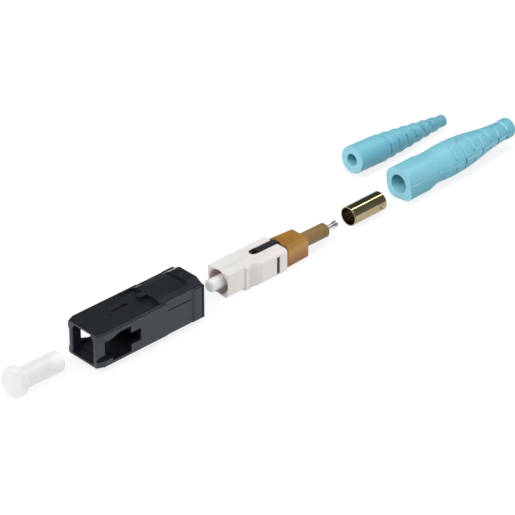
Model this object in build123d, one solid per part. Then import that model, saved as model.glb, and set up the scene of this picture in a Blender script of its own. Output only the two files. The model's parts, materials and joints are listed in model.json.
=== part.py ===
from build123d import *
import os
from math import atan2, cos, degrees, radians, sin, tan

# All lengths are in millimetres. Every piece is drawn along its own X axis, with X = 0 on its
# front end, Y across and Z up, and is then laid on the table where it belongs in the kit.

# Ferrule and the pieces that float with it
FERRULE_R = 1.25
FERRULE_LEN = 10.5
FERRULE_REACH = 2.55
FERRULE_BEVEL = 0.35
HUB_R = 1.65
HUB_LEN = 2.6
FLANGE_R = 2.05
FLANGE_LEN = 1.2
FLANGE_NOTCH = 0.45
TAIL_R = 0.95
TAIL_LEN = 1.3
TUBE_R = 0.55
TUBE_WALL = 0.13
TUBE_REACH = 2.72
FLARE_R = 0.82
FLARE_LEN = 1.1
FLOAT_TRAVEL = 1.5

# Clearances
RUN_GAP = 0.08
SEAT_GAP = 0.10
SLIP_GAP = 0.02
BODY_GAP = 0.25
SLIDE_GAP = 0.12

# Plug frame
PLUG_LEN = 14.64
PLUG_H = 5.06
NOSE_W = 5.62
NOSE_LEN = 4.05
NOSE_BORE_R = 2.5
NOSE_BEVEL = 0.7
NOSE_MOUTH = 0.18
PLUG_W = 6.8
CATCH_W = 6.26
CATCH_GROOVE = 0.2
CATCH_GROOVE_LEN = 0.3
CATCH_LEN = 0.75
WAIST_W = 5.24
WAIST_X = 6.6
WAIST_END = 8.3
PLUG_TOP_ROUND = 0.75
PLUG_BOTTOM_BEVEL = 0.6
BULKHEAD_START = 6.2
BULKHEAD_THICK = 0.8
SLOT_W = 1.9
SLOT_Y = 0.4
SLOT_START = 8.45
SLIT_SHARE = 0.35
SLIT_LEN = 0.75
SLIT_H = 3.6

# Spring and the barrel that it pushes on
WIRE_R = 0.2
COIL_R = 1.68
COIL_TURNS = 5
BARREL_R = 2.25
BARREL_WALL = 0.22
BARREL_START = 10.5
BARREL_FLOOR = 0.6
COLLAR_LEN = 0.88
LUG_RECESS = 0.45
RAIL_START = 10.3
RAIL_TOP = 2.42

# Crimp body
BLOCK_LEN = 5.45
BLOCK_W = 5.4
BLOCK_H = 4.4
BLOCK_TAPER = 0.3
BLOCK_ROUND = 0.8
BLOCK_EDGE = 0.2
NECK_R = 1.46
NECK_LEN = 7.0
NECK_BEVEL = 0.35
RING_START = 4.5
RING_PITCH = 0.45
RING_DEPTH = 0.07
RING_COUNT = 5

# Crimp sleeve
SLEEVE_R = 2.0
SLEEVE_WALL = 0.2
SLEEVE_LEN = 8.8
SLEEVE_EDGE = 0.08
SIGHT_HOLE_R = 0.16
SIGHT_HOLE_INSET = 1.0

# Outer housing
HOUSING_LEN = 25.75
FRONT_W = 8.9
FRONT_H = 7.18
FACE_W = 7.8
FACE_H = 6.98
LEAD_IN = 1.43
CORNER_ROUND = 0.35
GRIP_START = 15.4
GRIP_H = 8.86
GRIP_FLAT_W = 4.64
GRIP_SIDE_H = 6.43
MOUTH_W = 5.76
MOUTH_H = 6.05
MOUTH_DEPTH = 2.1
MOUTH_CORNER_Y = 0.75
MOUTH_CORNER_Z = 1.3
MOUTH_LIP = 0.12
CHANNEL_W = 7.36
WINDOW_Z = -0.13
WINDOW_RAMP_START = 2.8
WINDOW_RAMP_END = 5.4
WINDOW_STEP = 7.8
WINDOW_END = 10.15
WINDOW_FRONT_H = 4.06
WINDOW_H = 5.4
WINDOW_SLOT_H = 2.5
SILL_START = 3.3
SILL_SLANT = 1.7
RELIEF_START = 12.0
RELIEF_W = 7.5
RELIEF_DEPTH = 0.45
TONGUE_LEN = 1.9
TONGUE_W = 1.3
TONGUE_Y = 0.4
KEY_START = 5.8
KEY_LEN = 0.9
KEY_W = 1.9
KEY_Y = 0.5
KEY_RISE = 0.3
FURROW_LEN = 4.4
FURROW_W = 0.6
FURROW_DEPTH = 0.22
SCOOP_END = 23.1
SCOOP_DEPTH = 0.36
SCOOP_FRONT_DEPTH = 0.3
PANEL_START = 16.6
PANEL_END = 22.9
PANEL_RAMP = 0.6
PANEL_DEPTH = 0.36
PANEL_GROOVE_Z = 1.5
PANEL_GROOVE = 0.22
END_GROOVE_START = 25.15
END_GROOVE_LEN = 0.3
END_GROOVE_DEPTH = 0.22

# Dust cap
CAP_LEN = 11.5
CAP_HEAD_R = 2.9
CAP_HEAD_LEN = 1.8
CAP_HEAD_ROUND = 0.45
CAP_STEM_R = 2.05
CAP_FLOOR = 2.0
CAP_MOUTH_BEVEL = 0.15

# Buffer boot, the small one
BUFFER_LEN = 27.6
BUFFER_R = 2.89
BUFFER_PLAIN = 8.1
BUFFER_END_R = 1.23
BUFFER_RIBS = 7
BUFFER_STEP = 0.85
BUFFER_BORE_R = 1.27
BUFFER_BORE_LEN = 17.0
BUFFER_EXIT_R = 0.6
BUFFER_SLIT = 0.35
BUFFER_SLIT_DEPTH = 0.45
BUFFER_SLIT_SPAN = 50
BUFFER_SLIT_LIFT = 11
BUFFER_SLIT_TWIST = 7
BUFFER_LIP = 0.25
BUFFER_FLARE = 0.03
BUFFER_CURVE = 1.08

# Cable boot, the large one
BOOT_LEN = 32.3
BOOT_SQUARE = 6.6
BOOT_SQUARE_ROUNDS = (2.5, 2.1, 1.6, 2.3)
BOOT_SQUARE_LEN = 8.9
BOOT_BLEND = 3.0
BOOT_BELLY_R = 3.6
BOOT_BELLY_X = 14.4
BOOT_SHOULDER_R = 3.18
BOOT_SWELL_X = 11.5
BOOT_SWELL_R = 3.56
BOOT_SHOULDER_X = 20.0
BOOT_WAIST_R = 2.04
BOOT_COLLAR_R = 2.14
BOOT_COLLAR_LEN = 2.35
BOOT_END_ROUND = 0.6
BOOT_BORE_R = 1.98
BOOT_BORE_LEN = 20.0
BOOT_EXIT_R = 1.35
BOOT_SLOTS = 7
BOOT_SLOT_START = 13.2
BOOT_SLOT_INSET = 0.3
BOOT_SLOT_W = 0.5
BOOT_SLOT_DEPTH = 0.62
BOOT_LAST_DEPTH = 1.0
BOOT_BRIDGE = 26
BOOT_RIDGE = 0.12
BOOT_RING_W = 0.4
BOOT_ROLL = -8.0

# Where each piece lies, seen from the plug: X and Y of its front end and its turn about Z
PLUG_PLACE = (0.0, 0.0, 0.0)
CAP_PLACE = (-50.02, -0.59, 5.3)
HOUSING_PLACE = (-34.12, -1.27, 0.7)
SLEEVE_PLACE = (35.18, 1.07, 1.2)
BUFFER_PLACE = (49.43, 14.56, 2.8)
BOOT_PLACE = (49.57, 1.57, 0.8)

# Stations along the plug that several pieces share
FLANGE_X = BULKHEAD_START + BULKHEAD_THICK + SEAT_GAP
FLANGE_END = FLANGE_X + FLANGE_LEN
SLIT_START = BARREL_START + SLIT_SHARE * (PLUG_LEN - BARREL_START)
BLOCK_X = PLUG_LEN + COLLAR_LEN
NECK_X = BLOCK_X + BLOCK_LEN
NECK_END = NECK_X + NECK_LEN
TUBE_END = NECK_END + TUBE_REACH
TUBE_BORE_R = TUBE_R + BODY_GAP
SPRING_END = BLOCK_X - BARREL_FLOOR
CAVITY_R = BARREL_R + RUN_GAP
CAVITY_W = PLUG_W + 2 * SLIDE_GAP
CAVITY_H = PLUG_H + 2 * SLIDE_GAP


def turned(points):
    """A solid turned about X from points (x, radius), closed along the axis."""
    ends = [(points[-1][0], 0.0), (points[0][0], 0.0)]
    outline = Polyline(*points, *ends, close=True)
    return revolve(Plane.XZ * make_face(outline), Axis.X)


def bar(x_start, x_end, radius):
    """A round bar along X."""
    return turned([(x_start, radius), (x_end, radius)])


def block(x_start, x_end, width, height, y_mid=0.0, z_mid=0.0):
    """A rectangular block along X."""
    middle = Pos((x_start + x_end) / 2, y_mid, z_mid)
    return middle * Box(x_end - x_start, width, height)


def across(section, x_start, x_end):
    """A section drawn in Y and Z and drawn out along X."""
    return extrude(Plane.YZ.offset(x_start) * section, amount=x_end - x_start)


def plan(points, height, z_mid=0.0):
    """An outline in X and Y, drawn out to a height about z_mid."""
    face = make_face(Polyline(*points, close=True))
    return extrude(Plane.XY.offset(z_mid - height / 2) * face, amount=height)


def both_sides(solid):
    """A solid on the -Y side together with its mirror image on the +Y side."""
    return solid + mirror(solid, Plane.XZ)


def sector(x_mid, width, r_outer, r_inner, angle, span):
    """A piece of a ring about X: angle is its middle, from +Y towards +Z, and span its spread."""
    ring = bar(x_mid - width / 2, x_mid + width / 2, r_outer)
    ring -= bar(x_mid - width, x_mid + width, r_inner)
    reach = 2 * r_outer / cos(radians(span / 2))
    rim = [(reach * cos(radians(a)), reach * sin(radians(a))) for a in (angle - span / 2, angle + span / 2)]
    fan = make_face(Polyline((0, 0), *rim, close=True))
    return ring & across(fan, x_mid - width, x_mid + width)


def lie(x_a, r_a, x_b, r_b):
    """Tilt and height of an axis whose circles r_a at x_a and r_b at x_b touch the table."""
    tilt = atan2(r_a - r_b, x_b - x_a)
    height = (r_a + x_a * tan(tilt)) * cos(tilt)
    return degrees(tilt), height


def put(solid, place, height, tilt=0.0, roll=0.0):
    """Lay a piece on the table, its front end at place."""
    x, y, turn = place
    where = Pos(x, y, height) * Rot(0, 0, turn) * Rot(0, tilt, 0) * Rot(roll, 0, 0)
    return where * solid


def dust_cap():
    head = turned([(0, CAP_HEAD_R), (CAP_HEAD_LEN, CAP_HEAD_R)])
    head = fillet(head.edges().filter_by(GeomType.CIRCLE), CAP_HEAD_ROUND)
    stem = bar(CAP_HEAD_LEN / 2, CAP_LEN, CAP_STEM_R)
    cap = head + stem
    cap -= bar(CAP_FLOOR, CAP_LEN, FERRULE_R + SLIP_GAP)
    mouth = cap.faces().sort_by(Axis.X)[-1].edges()
    return chamfer(mouth, CAP_MOUTH_BEVEL)


def housing_shell():
    """The outside of the housing: lead-in, front body and bevelled grip."""
    face = RectangleRounded(FACE_W, FACE_H, CORNER_ROUND)
    front = RectangleRounded(FRONT_W, FRONT_H, CORNER_ROUND)
    lead = loft([Plane.YZ * face, Plane.YZ.offset(LEAD_IN) * front])
    body = across(front, LEAD_IN, HOUSING_LEN)
    y0, y1 = GRIP_FLAT_W / 2, FRONT_W / 2
    z0, z1 = GRIP_SIDE_H / 2, GRIP_H / 2
    octagon = make_face(Polyline((y0, z1), (y1, z0), (y1, -z0), (y0, -z1),
                                 (-y0, -z1), (-y1, -z0), (-y1, z0), (-y0, z1), close=True))
    return lead + body + across(octagon, GRIP_START, HOUSING_LEN)


def housing_cavity():
    """The passage for the plug: a mouth with bevelled upper corners, then the wider cavity."""
    y, z = MOUTH_W / 2, MOUTH_H / 2
    corner = [(-y, -z), (y, -z), (y, z - MOUTH_CORNER_Z), (y - MOUTH_CORNER_Y, z),
              (-y + MOUTH_CORNER_Y, z), (-y, z - MOUTH_CORNER_Z)]
    mouth = make_face(Polyline(*corner, close=True))
    lip = offset(mouth, MOUTH_LIP)
    passage = across(mouth, -1, MOUTH_DEPTH)
    passage += loft([Plane.YZ * lip, Plane.YZ.offset(2 * MOUTH_LIP) * mouth])
    return passage + block(MOUTH_DEPTH, HOUSING_LEN + 1, CAVITY_W, CAVITY_H)


def side_window():
    """The latch window in the -Y wall: a ramped upper edge and a sill that slants inwards."""
    outer = FRONT_W / 2
    h0, h1, h2 = WINDOW_FRONT_H / 2, WINDOW_H / 2, WINDOW_SLOT_H / 2
    ramp = Spline((WINDOW_RAMP_START, h0), (WINDOW_RAMP_END, h1), tangents=[(1, 0), (1, 0)])
    edge = Polyline((WINDOW_RAMP_END, h1), (WINDOW_STEP, h1), (WINDOW_STEP, h2), (WINDOW_END, h2),
                    (WINDOW_END, -h2), (WINDOW_STEP, -h2), (WINDOW_STEP, -h0), (MOUTH_DEPTH, -h0),
                    (MOUTH_DEPTH, h0), (WINDOW_RAMP_START, h0))
    hole = extrude(Plane.XZ.offset(CAVITY_W / 2 - 0.5) * make_face([ramp, edge]), amount=outer)
    inner = CAVITY_W / 2 - 0.2
    sill = plan([(SILL_START, -outer - 1), (SILL_START, -outer), (SILL_START + SILL_SLANT, -inner),
                 (WINDOW_STEP, -inner), (WINDOW_STEP, -outer - 1)], h1, -h1 / 2)
    return Pos(0, 0, WINDOW_Z) * (hole + sill)


def side_channel():
    """The channel that leads a latch over the front post to the window."""
    y0, y1 = CHANNEL_W / 2, FRONT_W / 2 + 1
    channel = block(-1, MOUTH_DEPTH + 0.1, y1 - y0, WINDOW_FRONT_H, -(y0 + y1) / 2)
    return Pos(0, 0, WINDOW_Z) * channel


def side_panel():
    """The sunk finger panel on the -Y side, with its groove and the groove at the rear end."""
    outer = FRONT_W / 2
    sunk = outer - PANEL_DEPTH
    panel = plan([(PANEL_START, -sunk), (PANEL_END, -sunk), (PANEL_END + PANEL_RAMP, -outer),
                  (PANEL_END + PANEL_RAMP, -outer - 1), (PANEL_START, -outer - 1)], GRIP_H)
    panel += block(PANEL_START + 0.3, PANEL_END, 2 * PANEL_GROOVE, PANEL_GROOVE, -sunk, PANEL_GROOVE_Z)
    x0, x1 = END_GROOVE_START, END_GROOVE_START + END_GROOVE_LEN
    return panel + block(x0, x1, 2 * END_GROOVE_DEPTH, GRIP_H, -outer)


def scoop():
    """The thumb scoop in the top of the grip: a long shallow run and a steep rear end."""
    z = GRIP_H / 2
    front = GRIP_START - TONGUE_LEN - 1
    middle = (GRIP_START + SCOOP_END) / 2
    level = Line((front, z - SCOOP_FRONT_DEPTH), (GRIP_START, z - SCOOP_FRONT_DEPTH))
    run = ThreePointArc(level @ 1, (middle, z - SCOOP_DEPTH), (SCOOP_END, z - SCOOP_DEPTH))
    wall = Polyline(run @ 1, (SCOOP_END, z + 1), (front, z + 1), level @ 0)
    return extrude(Plane.XZ * make_face([level, run, wall]), amount=FRONT_W, both=True)


def relief():
    """The sunk floor ahead of the grip, with the grip's tongue left standing in it."""
    top = FRONT_H / 2
    floor = block(RELIEF_START, GRIP_START, RELIEF_W, 2 * RELIEF_DEPTH, 0, top)
    return floor - tongue()


def tongue():
    """The round-nosed tongue that runs forward from the grip's top."""
    nose = GRIP_START - TONGUE_LEN + TONGUE_W / 2
    z0, z1 = FRONT_H / 2 - RELIEF_DEPTH, GRIP_H / 2
    bar_part = block(nose, GRIP_START, TONGUE_W, z1 - z0, TONGUE_Y, (z0 + z1) / 2)
    return bar_part + Pos(nose, TONGUE_Y, (z0 + z1) / 2) * Cylinder(TONGUE_W / 2, z1 - z0)


def key():
    """The small wedge on the housing's top that marks its way round."""
    top = FRONT_H / 2
    side = Polyline((KEY_START, top - 0.1), (KEY_START, top), (KEY_START + KEY_LEN, top + KEY_RISE),
                    (KEY_START + KEY_LEN, top - 0.1), close=True)
    return Pos(0, KEY_Y, 0) * extrude(Plane.XZ * make_face(side), amount=KEY_W / 2, both=True)


def furrow():
    """The furrow behind the key, which deepens to the rear."""
    top = FRONT_H / 2
    start = KEY_START + KEY_LEN
    side = Polyline((start, top), (start + FURROW_LEN, top - FURROW_DEPTH), (start + FURROW_LEN, top + 1),
                    (start, top + 1), close=True)
    return Pos(0, KEY_Y, 0) * extrude(Plane.XZ * make_face(side), amount=FURROW_W / 2, both=True)


def outer_housing():
    housing = housing_shell() + tongue() + mirror(tongue(), Plane.XY)
    housing -= relief()
    housing -= mirror(relief(), Plane.XY)
    housing -= scoop()
    housing -= mirror(scoop(), Plane.XY)
    housing += key()
    housing -= furrow()
    housing -= housing_cavity()
    housing -= both_sides(side_window())
    housing -= both_sides(side_channel())
    housing -= both_sides(side_panel())
    return housing


def plug_plan():
    """Half of the plug's plan: nose, groove, latch catch, hollow waist and body."""
    catch_x = NOSE_LEN + CATCH_GROOVE_LEN
    catch_end = catch_x + CATCH_LEN
    groove_y = NOSE_W / 2 - CATCH_GROOVE
    front = Polyline((0, 0), (0, NOSE_W / 2), (NOSE_LEN, NOSE_W / 2), (NOSE_LEN, groove_y),
                     (catch_x, groove_y), (catch_x + 0.1, CATCH_W / 2), (catch_end, CATCH_W / 2))
    waist = Spline((catch_end, CATCH_W / 2), (WAIST_X, WAIST_W / 2), (WAIST_END, PLUG_W / 2),
                   tangents=[(1, -0.5), (1, 0.15)])
    rear = Polyline((WAIST_END, PLUG_W / 2), (PLUG_LEN, PLUG_W / 2), (PLUG_LEN, 0), (0, 0))
    return make_face([front, waist, rear])


def plug_section():
    """The plug's section: a low rectangle with rounded upper edges and bevelled lower ones."""
    y, z = PLUG_W / 2, PLUG_H / 2
    outline = make_face(Polyline((-y, -z), (y, -z), (y, z), (-y, z), close=True))
    top = outline.vertices().filter_by(lambda v: v.Y > 0)
    outline = fillet(top, PLUG_TOP_ROUND)
    bottom = outline.vertices().filter_by(lambda v: v.Y < -z + 0.01)
    return chamfer(bottom, PLUG_BOTTOM_BEVEL)


def plug_frame():
    half = extrude(plug_plan(), amount=PLUG_H / 2, both=True)
    frame = (half + mirror(half, Plane.XZ)) & across(plug_section(), 0, PLUG_LEN)
    y, z = NOSE_W / 2, PLUG_H / 2
    bevel = make_face(Polyline((-y + NOSE_BEVEL, -z), (-y - 1, -z + NOSE_BEVEL + 1), (-y - 1, -z), close=True))
    bevels = across(bevel, 0, NOSE_LEN + CATCH_GROOVE_LEN)
    frame -= both_sides(bevels)
    frame -= turned([(0, NOSE_BORE_R + NOSE_MOUTH), (NOSE_MOUTH, NOSE_BORE_R), (BULKHEAD_START, NOSE_BORE_R)])
    frame -= bar(BULKHEAD_START - 1, FLANGE_X, HUB_R + RUN_GAP)
    frame -= bar(FLANGE_X - SEAT_GAP, PLUG_LEN, CAVITY_R)
    frame -= block(SLOT_START, PLUG_LEN, SLOT_W, 2 * CAVITY_R, SLOT_Y)
    slot_mid = SLOT_START + SLOT_W / 2
    frame -= Pos(slot_mid, SLOT_Y, PLUG_H / 2) * Cylinder(SLOT_W / 2, PLUG_H)
    frame -= block(slot_mid, PLUG_LEN, SLOT_W, PLUG_H, SLOT_Y, PLUG_H / 2)
    slit_x = SLIT_START + SLIT_LEN
    frame -= block(SLIT_START, slit_x, PLUG_W + 1, SLIT_H)
    return frame


def ferrule():
    tip = -FERRULE_REACH
    end = tip + FERRULE_LEN
    return turned([(tip, FERRULE_R - FERRULE_BEVEL), (tip + FERRULE_BEVEL, FERRULE_R), (end, FERRULE_R)])


def ferrule_flange():
    """The ferrule's holder: a hub through the bulkhead, the seating flange and a tail."""
    hub_x = FLANGE_X - HUB_LEN
    ferrule_end = FERRULE_LEN - FERRULE_REACH
    holder = turned([(hub_x, HUB_R - 0.15), (hub_x + 0.15, HUB_R), (FLANGE_X, HUB_R), (FLANGE_X, FLANGE_R),
                     (FLANGE_END, FLANGE_R), (FLANGE_END, TAIL_R), (FLANGE_END + TAIL_LEN, TAIL_R)])
    holder -= bar(hub_x - 1, ferrule_end, FERRULE_R)
    holder -= bar(ferrule_end, FLANGE_END + TAIL_LEN + 1, TUBE_R)
    for quarter in range(4):
        notch = block(FLANGE_X, FLANGE_END, FLANGE_NOTCH, 2 * FLANGE_NOTCH, 0, FLANGE_R)
        holder -= notch.rotate(Axis.X, 90 * quarter)
    return holder


def guide_tube():
    """The fibre guide tube, with its funnel mouth at the rear."""
    start = FERRULE_LEN - FERRULE_REACH
    funnel = TUBE_END - FLARE_LEN
    tube = turned([(start, TUBE_R), (funnel, TUBE_R), (TUBE_END - 0.3, FLARE_R), (TUBE_END, FLARE_R)])
    bore = TUBE_R - TUBE_WALL
    tube -= turned([(start, bore), (funnel, bore), (TUBE_END - 0.3, FLARE_R - TUBE_WALL), (TUBE_END, FLARE_R - TUBE_WALL)])
    return tube


def spring():
    """The coil spring between the flange and the barrel's floor."""
    start = FLANGE_END + WIRE_R + SEAT_GAP / 2
    length = SPRING_END - WIRE_R - SEAT_GAP / 2 - start
    path = Helix(length / COIL_TURNS, length, COIL_R, center=(start, 0, 0), direction=(1, 0, 0))
    wire = Plane(origin=path @ 0, z_dir=path % 0) * Circle(WIRE_R)
    return sweep(wire, path=path, is_frenet=True)


def barrel():
    """The spring's barrel: a tube in the plug, with two snap lugs and a floor."""
    tube = bar(BARREL_START, BLOCK_X, BARREL_R)
    lug_w = PLUG_W - 2 * LUG_RECESS
    lug = block(SLIT_START + SLIP_GAP, SLIT_START + SLIT_LEN - SLIP_GAP, lug_w, SLIT_H - 2 * SLIP_GAP)
    rail_h = RAIL_TOP - BARREL_R / 2
    rail = block(RAIL_START, BLOCK_X, SLOT_W - 2 * RUN_GAP, rail_h, SLOT_Y, RAIL_TOP - rail_h / 2)
    solid = tube + lug + rail
    solid -= bar(BARREL_START - 1, SPRING_END, BARREL_R - BARREL_WALL)
    solid -= bar(BARREL_START - 1, BLOCK_X + 1, TUBE_BORE_R)
    return solid


def crimp_section(width, height):
    """A section with broad rounds above and small ones below."""
    y, z = width / 2, height / 2
    outline = make_face(Polyline((-y, -z), (y, -z), (y, z), (-y, z), close=True))
    outline = fillet(outline.vertices().filter_by(lambda v: v.Y > 0), BLOCK_ROUND)
    return fillet(outline.vertices().filter_by(lambda v: v.Y < -z + 0.01), BLOCK_EDGE)


def crimp_body():
    front = Plane.YZ.offset(BLOCK_X) * crimp_section(BLOCK_W, BLOCK_H)
    rear = Plane.YZ.offset(NECK_X) * crimp_section(BLOCK_W - BLOCK_TAPER, BLOCK_H - BLOCK_TAPER)
    body = loft([front, rear])
    body += turned([(NECK_X - 0.5, NECK_R), (NECK_END - NECK_BEVEL, NECK_R), (NECK_END, NECK_R - NECK_BEVEL)])
    for number in range(RING_COUNT):
        x = NECK_X + RING_START + number * RING_PITCH
        groove = bar(x, x + RING_PITCH / 3, NECK_R + 1) - bar(x, x + RING_PITCH / 3, NECK_R - RING_DEPTH)
        body -= groove
    return body - bar(BLOCK_X - 1, NECK_END + 1, TUBE_BORE_R)


def crimp_sleeve():
    sleeve = bar(0, SLEEVE_LEN, SLEEVE_R) - bar(-1, SLEEVE_LEN + 1, SLEEVE_R - SLEEVE_WALL)
    rims = sleeve.edges().filter_by(GeomType.CIRCLE).sort_by(SortBy.RADIUS)[-2:]
    sleeve = fillet(rims, SLEEVE_EDGE)
    hole = Rot(112, 0, 0) * Cylinder(SIGHT_HOLE_R, 2 * SLEEVE_R, align=(Align.CENTER, Align.CENTER, Align.MIN))
    return sleeve - Pos(SLEEVE_LEN - SIGHT_HOLE_INSET, 0, 0) * hole


def buffer_rib_radius(number):
    """Radius of the buffer boot at the rear edge of a rib; rib 0 is the plain front."""
    return BUFFER_R + (BUFFER_END_R - BUFFER_R) * (number / BUFFER_RIBS) ** BUFFER_CURVE


def buffer_pitch():
    return (BUFFER_LEN - BUFFER_PLAIN) / BUFFER_RIBS


def buffer_rim(number):
    """Station and radius of the rim that stands proud at the rear of a rib."""
    if number == 0:
        return BUFFER_PLAIN, BUFFER_R
    return BUFFER_PLAIN + number * buffer_pitch() - BUFFER_LIP, buffer_rib_radius(number) + BUFFER_FLARE


def buffer_boot():
    points = [(0, BUFFER_R - 0.15), (0.15, BUFFER_R), (BUFFER_PLAIN, BUFFER_R)]
    for number in range(1, BUFFER_RIBS + 1):
        x = BUFFER_PLAIN + (number - 1) * buffer_pitch()
        radius = buffer_rib_radius(number)
        points += [(x + BUFFER_STEP, radius - 0.05), buffer_rim(number), (x + buffer_pitch(), radius - 0.02)]
    boot = turned(points)
    boot -= bar(-1, BUFFER_BORE_LEN, BUFFER_BORE_R)
    boot -= bar(-1, BUFFER_LEN + 1, BUFFER_EXIT_R)
    for number in range(1, BUFFER_RIBS):
        x = BUFFER_PLAIN + (number - 1) * buffer_pitch() + BUFFER_STEP
        floor = buffer_rib_radius(number) - BUFFER_SLIT_DEPTH
        lift = BUFFER_SLIT_LIFT + (number - 1) * BUFFER_SLIT_TWIST
        for side in (0, 180):
            boot -= sector(x, BUFFER_SLIT, BUFFER_R + 1, floor, side - lift, BUFFER_SLIT_SPAN)
    return boot


def boot_curve(extra=0.0):
    """The cable boot's side: belly, shoulder and long taper to the waist, pushed out by extra."""
    waist_x = BOOT_LEN - BOOT_COLLAR_LEN
    return Spline((BOOT_SQUARE_LEN, BOOT_SQUARE / 2 + extra), (BOOT_SWELL_X, BOOT_SWELL_R + extra),
                  (BOOT_BELLY_X, BOOT_BELLY_R + extra), (BOOT_SHOULDER_X, BOOT_SHOULDER_R + extra),
                  (waist_x, BOOT_WAIST_R + extra), tangents=[(1, 0.16), (1, -0.03)])


def boot_profile(extra=0.0):
    """The face that is turned to make the round part of the cable boot."""
    curve = boot_curve(extra)
    collar = BOOT_COLLAR_R + extra
    waist_x = BOOT_LEN - BOOT_COLLAR_LEN
    round_x = BOOT_LEN - BOOT_END_ROUND
    side = Polyline(curve @ 1, (waist_x + 0.5, collar), (round_x, collar))
    turn = BOOT_END_ROUND * cos(radians(45))
    end = ThreePointArc((round_x, collar), (round_x + turn, collar - BOOT_END_ROUND + turn), (BOOT_LEN, collar - BOOT_END_ROUND))
    rest = Polyline(end @ 1, (BOOT_LEN, 0), (BOOT_SQUARE_LEN, 0), curve @ 0)
    return make_face([curve, side, end, rest])


def boot_radius(x):
    """Radius of the cable boot at a station of its round part."""
    upright = Line((x, 0), (x, 2 * BOOT_BELLY_R))
    meet = upright.edge().intersect(boot_curve().edge())
    point = meet[0] if isinstance(meet, (list, ShapeList)) else meet
    return point.Y if hasattr(point, "Y") else point.center().Y


def boot_pitch():
    """Spacing of the slots, of which the last lies an inset ahead of the collar."""
    last = BOOT_LEN - BOOT_COLLAR_LEN - BOOT_SLOT_INSET
    return (last - BOOT_SLOT_START) / (BOOT_SLOTS - 1)


def boot_foot():
    """How far the rolled square section reaches below the boot's axis."""
    return -(Rot(0, 0, BOOT_ROLL) * boot_square()).bounding_box().min.Y


def boot_rest():
    """Station and radius of the belly's circle that touches the table when the foot does."""
    curve = boot_curve()
    foot = boot_foot()
    touch = max((curve @ (i / 400) for i in range(401)), key=lambda point: (point.Y - foot) / point.X)
    return touch.X, touch.Y


def boot_square():
    """The section of the cable boot's front, whose four corners differ in their rounding."""
    half = BOOT_SQUARE / 2
    face = make_face(Polyline((half, half), (-half, half), (-half, -half), (half, -half), close=True))
    corners = [(half, half), (-half, half), (-half, -half), (half, -half)]
    for (y, z), size in zip(corners, BOOT_SQUARE_ROUNDS):
        corner = face.vertices().sort_by_distance((y, z, 0))[0]
        face = fillet(corner, size)
    return face


def cable_boot():
    square_end = BOOT_SQUARE_LEN - BOOT_BLEND
    square = across(boot_square(), 0, square_end)
    blend_part = loft([Plane.YZ.offset(square_end) * boot_square(),
                       Plane.YZ.offset(BOOT_SQUARE_LEN) * Circle(BOOT_SQUARE / 2)])
    round_part = revolve(Plane.XZ * boot_profile(), Axis.X)
    ring_x = BOOT_SQUARE_LEN
    ring = bar(ring_x - BOOT_RING_W, ring_x, BOOT_SQUARE / 2 + BOOT_RIDGE)
    boot = square + blend_part + round_part + ring
    flash = boot_profile(BOOT_RIDGE)
    flash += make_face(Polyline((0, 0), (ring_x + 0.1, 0), (ring_x + 0.1, BOOT_SQUARE / 2 + BOOT_RIDGE),
                                (0, BOOT_SQUARE / 2 + BOOT_RIDGE), close=True))
    plate = extrude(flash, amount=BOOT_RIDGE / 2, both=True)
    slots = Part()
    for number in range(BOOT_SLOTS):
        x = BOOT_SLOT_START + number * boot_pitch()
        radius = boot_radius(x) if x < BOOT_LEN - BOOT_COLLAR_LEN else BOOT_WAIST_R
        last = number == BOOT_SLOTS - 1
        depth = BOOT_LAST_DEPTH if last else BOOT_SLOT_DEPTH
        middle = 90 if number % 2 == 0 else 0
        for side in (middle, middle + 180):
            slots += sector(x, BOOT_SLOT_W, radius + 1, radius - depth, side, 180 - BOOT_BRIDGE)
    boot = boot + plate + mirror(plate, Plane.XZ)
    boot -= slots
    boot -= bar(-1, BOOT_BORE_LEN, BOOT_BORE_R)
    return boot - bar(-1, BOOT_LEN + 1, BOOT_EXIT_R)


def build():
    """Every piece, laid on the table."""
    plug_height = PLUG_H / 2
    cap_tilt, cap_height = lie(CAP_HEAD_LEN - CAP_HEAD_ROUND, CAP_HEAD_R, CAP_LEN - CAP_MOUTH_BEVEL, CAP_STEM_R)
    buffer_tilt, buffer_height = lie(*buffer_rim(0), *buffer_rim(1))
    boot_tilt, boot_height = lie(0, boot_foot(), *boot_rest())
    plug_pieces = {"plug_frame": plug_frame(), "ferrule": ferrule(), "ferrule_flange": ferrule_flange(),
                   "guide_tube": guide_tube(), "spring": spring(), "spring_barrel": barrel(),
                   "crimp_body": crimp_body()}
    pieces = {name: put(solid, PLUG_PLACE, plug_height) for name, solid in plug_pieces.items()}
    pieces["dust_cap"] = put(dust_cap(), CAP_PLACE, cap_height, cap_tilt)
    pieces["outer_housing"] = put(outer_housing(), HOUSING_PLACE, GRIP_H / 2)
    pieces["crimp_sleeve"] = put(crimp_sleeve(), SLEEVE_PLACE, SLEEVE_R)
    pieces["buffer_boot"] = put(buffer_boot(), BUFFER_PLACE, buffer_height, buffer_tilt)
    pieces["cable_boot"] = put(cable_boot(), BOOT_PLACE, boot_height, boot_tilt, BOOT_ROLL)
    return pieces


def under_middle(pieces):
    """The point on the table under the middle of the whole kit."""
    boxes = [solid.bounding_box() for solid in pieces.values()]
    x = min(box.min.X for box in boxes) + max(box.max.X for box in boxes)
    y = min(box.min.Y for box in boxes) + max(box.max.Y for box in boxes)
    return Vector(x / 2, y / 2, 0)


def main():
    os.makedirs("parts", exist_ok=True)
    pieces = build()
    shift = Location(-under_middle(pieces))
    for name, solid in pieces.items():
        export_step(shift * solid, f"parts/{name}.step")


main()
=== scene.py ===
import json
from math import cos, radians, sin

import bpy
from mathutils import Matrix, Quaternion, Vector


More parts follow.
